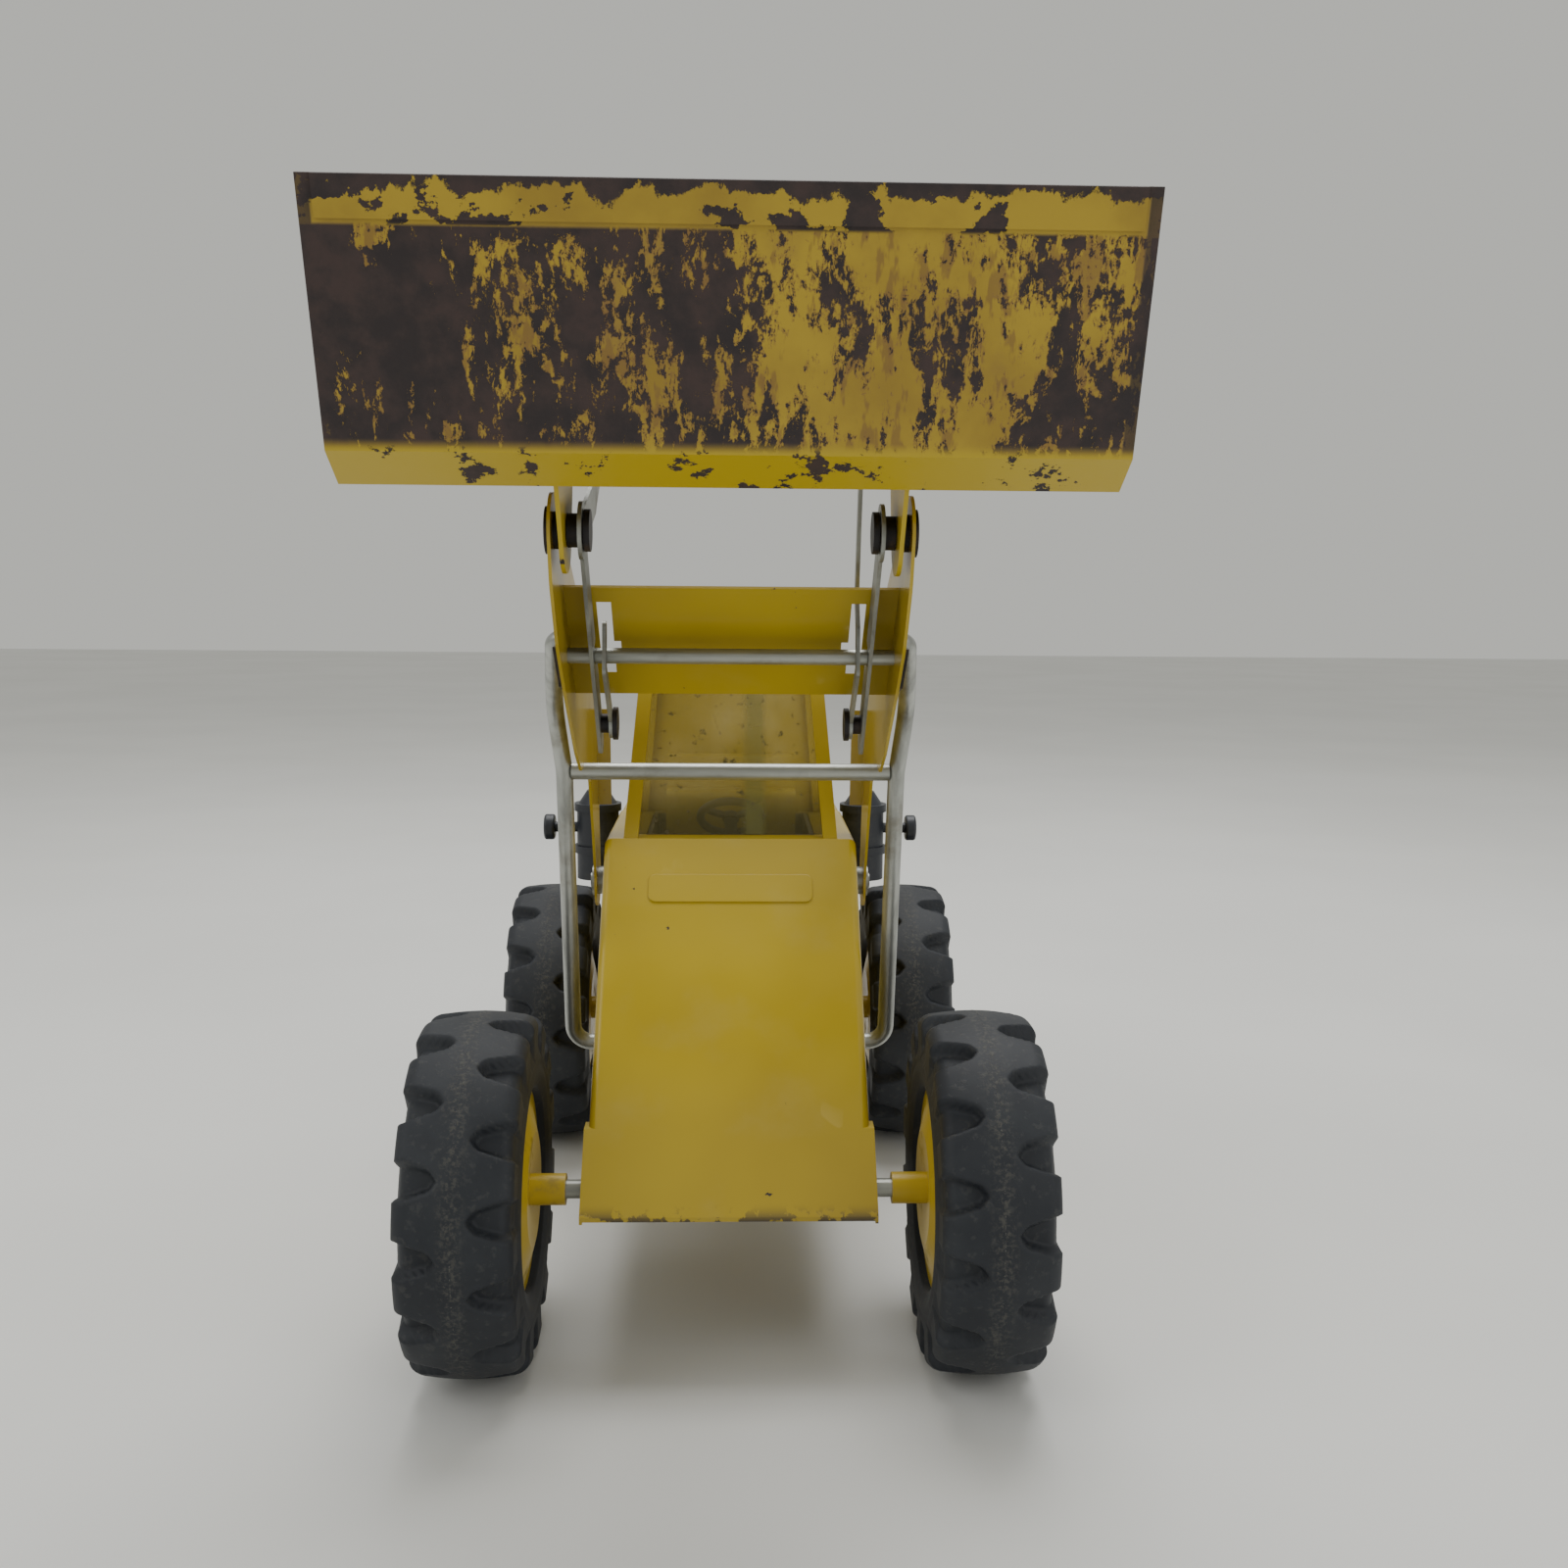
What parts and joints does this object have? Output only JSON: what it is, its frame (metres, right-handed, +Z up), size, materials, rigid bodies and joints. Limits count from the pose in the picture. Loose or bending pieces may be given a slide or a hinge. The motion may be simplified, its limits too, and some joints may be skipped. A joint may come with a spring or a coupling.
{
  "type": "toy front loader",
  "caption": "Pressed-steel toy wheel loader with raised pivoting lift arms, a tipping bucket, a wire bail, open cab and treaded wheels.",
  "frame": {"origin": "middle of the toy's bounding box on the floor, arms raised", "axes": "+X to the toy's own left as it drives forward, -Y the front, +Z up. Nodes and bodies whose names end in left stand on the -X side, which is the left as seen from the front."},
  "size_m": [0.216, 0.4208, 0.3633],
  "materials": {
    "yellow_enamel": "gloss",
    "worn_enamel": "worn gloss over rust",
    "under_plate": "gloss",
    "zinc": "dull zinc plate",
    "black_steel": "satin black",
    "black_plastic": "satin",
    "yellow_plastic": "gloss",
    "tyre_rubber": "dusty",
    "clear_plastic": "dusty clear"
  },
  "bodies": {
    "chassis": {"body_shell": "yellow_enamel", "base_plate": "under_plate", "base_screws": "zinc", "engine_hood": "yellow_enamel", "rear_grille": "black_plastic", "cab_canopy": "yellow_enamel", "windshield": "clear_plastic", "cab_floor": "black_plastic", "bench_seat": "yellow_enamel", "steering_column": "black_plastic", "front_axle": "zinc", "rear_axle": "zinc", "axle_nuts": "zinc", "air_cleaner_left": "black_plastic", "air_cleaner_right": "black_plastic", "air_cleaner_cap_left": "black_plastic", "air_cleaner_cap_right": "black_plastic", "air_cleaner_knob_left": "black_plastic", "air_cleaner_knob_right": "black_plastic"},
    "lift_arms": {"lift_arm_frame": "yellow_enamel", "arm_pivot_pin": "zinc", "arm_pivot_caps": "zinc", "arm_pivot_spacers": "zinc", "tie_rod": "zinc", "keeper_plate_left": "black_steel", "keeper_plate_right": "black_steel", "bail_left": "zinc", "bail_right": "zinc", "bail_crossbar": "zinc", "bucket_hinge_pins": "black_steel", "hinge_washers": "black_steel"},
    "bucket_body": {"bucket": "worn_enamel"},
    "latch": {"latch_lever_left": "zinc", "latch_lever_right": "zinc", "latch_tie_left": "zinc", "latch_tie_right": "zinc", "latch_rivets": "black_steel"},
    "steering": {"steering_wheel": "black_plastic"},
    "wheel_front_left": {"tyre_front_left": "tyre_rubber", "hub_front_left": "yellow_plastic"},
    "wheel_front_right": {"tyre_front_right": "tyre_rubber", "hub_front_right": "yellow_plastic"},
    "wheel_rear_left": {"tyre_rear_left": "tyre_rubber", "hub_rear_left": "yellow_plastic"},
    "wheel_rear_right": {"tyre_rear_right": "tyre_rubber", "hub_rear_right": "yellow_plastic"}
  },
  "joints": [
    {"name": "lift", "type": "hinge", "parent": "chassis", "child": "lift_arms", "pos_m": [0, -0.00267, 0.148], "axis": [1, 0, 0], "range_deg": [0, 66]},
    {"name": "dump", "type": "hinge", "parent": "lift_arms", "child": "bucket_body", "pos_m": [0, -0.14767, 0.279], "axis": [1, 0, 0], "range_deg": [0, 75]},
    {"name": "latch_swing", "type": "hinge", "parent": "lift_arms", "child": "latch", "pos_m": [0, -0.14767, 0.279], "axis": [-1, 0, 0], "range_deg": [0, 5]},
    {"name": "steer", "type": "hinge", "parent": "chassis", "child": "steering", "pos_m": [0, 0.01933, 0.17], "axis": [0, 0.6428, 0.766], "continuous": true},
    {"name": "roll_front_left", "type": "hinge", "parent": "chassis", "child": "wheel_front_left", "pos_m": [0, -0.10167, 0.06], "axis": [1, 0, 0], "continuous": true},
    {"name": "roll_front_right", "type": "hinge", "parent": "chassis", "child": "wheel_front_right", "pos_m": [0, -0.10167, 0.06], "axis": [1, 0, 0], "continuous": true},
    {"name": "roll_rear_left", "type": "hinge", "parent": "chassis", "child": "wheel_rear_left", "pos_m": [0, 0.13133, 0.06], "axis": [1, 0, 0], "continuous": true},
    {"name": "roll_rear_right", "type": "hinge", "parent": "chassis", "child": "wheel_rear_right", "pos_m": [0, 0.13133, 0.06], "axis": [1, 0, 0], "continuous": true}
  ]
}
